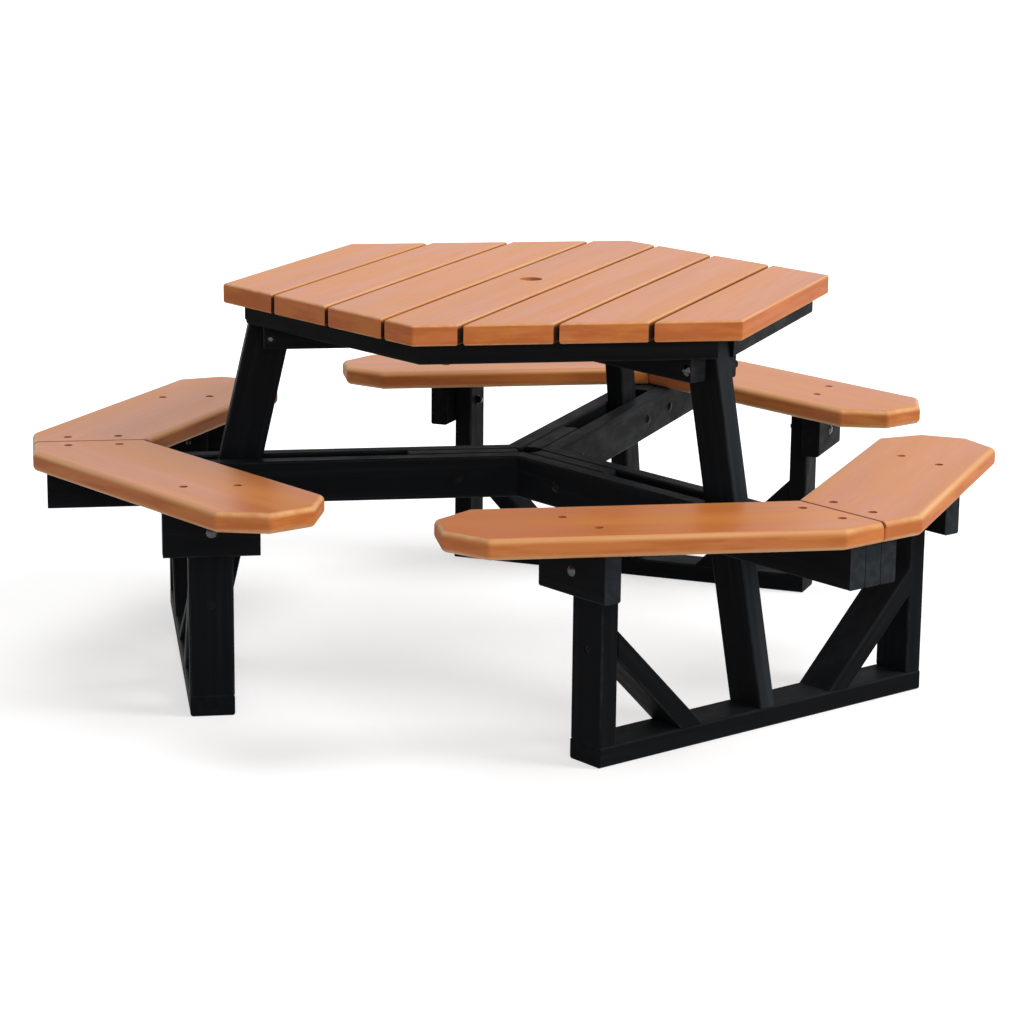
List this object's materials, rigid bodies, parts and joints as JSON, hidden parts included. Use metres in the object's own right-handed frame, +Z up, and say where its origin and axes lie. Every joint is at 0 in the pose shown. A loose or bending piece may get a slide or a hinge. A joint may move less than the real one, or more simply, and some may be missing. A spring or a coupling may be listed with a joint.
{
  "type": "hexagonal picnic table",
  "caption": "Six-sided picnic table with V-shaped benches joined to it by a black board frame, with a plank top and a parasol hole in its middle.",
  "frame": {"origin": "on the floor, on the upright axis through the middle of the table top", "axes": "+Z up; +Y along one of the three spokes that carry the benches; planks run along Y"},
  "size_m": [1.768, 1.8395, 0.74],
  "materials": {
    "cedar_top": "satin, faint streaks along the plank",
    "cedar_seat": "satin, faint streaks along the board",
    "black_frame": "satin black",
    "zinc": "dull zinc plating",
    "black_steel": "black coating",
    "dark_screws": "dark brown coating"
  },
  "bodies": {
    "root": {"plank_1": "cedar_top", "plank_2": "cedar_top", "plank_3": "cedar_top", "plank_4": "cedar_top", "plank_5": "cedar_top", "plank_6": "cedar_top", "plank_7": "cedar_top", "centre_batten": "black_frame", "leg_a": "black_frame", "top_cleats_a": "black_frame", "beam_spacers_a": "black_frame", "sill_a": "black_frame", "rim_a_left": "black_frame", "beam_a_left": "black_frame", "post_a_left": "black_frame", "brace_a_left": "black_frame", "seat_cleat_a_left": "black_frame", "seat_a_left": "cedar_seat", "rim_a_right": "black_frame", "beam_a_right": "black_frame", "post_a_right": "black_frame", "brace_a_right": "black_frame", "seat_cleat_a_right": "black_frame", "seat_a_right": "cedar_seat", "leg_b": "black_frame", "top_cleats_b": "black_frame", "beam_spacers_b": "black_frame", "sill_b": "black_frame", "rim_b_left": "black_frame", "beam_b_left": "black_frame", "post_b_left": "black_frame", "brace_b_left": "black_frame", "seat_cleat_b_left": "black_frame", "seat_b_left": "cedar_seat", "rim_b_right": "black_frame", "beam_b_right": "black_frame", "post_b_right": "black_frame", "brace_b_right": "black_frame", "seat_cleat_b_right": "black_frame", "seat_b_right": "cedar_seat", "leg_c": "black_frame", "top_cleats_c": "black_frame", "beam_spacers_c": "black_frame", "sill_c": "black_frame", "rim_c_left": "black_frame", "beam_c_left": "black_frame", "post_c_left": "black_frame", "brace_c_left": "black_frame", "seat_cleat_c_left": "black_frame", "seat_c_left": "cedar_seat", "rim_c_right": "black_frame", "beam_c_right": "black_frame", "post_c_right": "black_frame", "brace_c_right": "black_frame", "seat_cleat_c_right": "black_frame", "seat_c_right": "cedar_seat", "cleat_bolts": "zinc", "cleat_nuts": "black_steel", "beam_bolts": "black_steel", "beam_nuts": "black_steel", "frame_screws": "black_steel", "seat_screws": "dark_screws"}
  },
  "joints": []
}
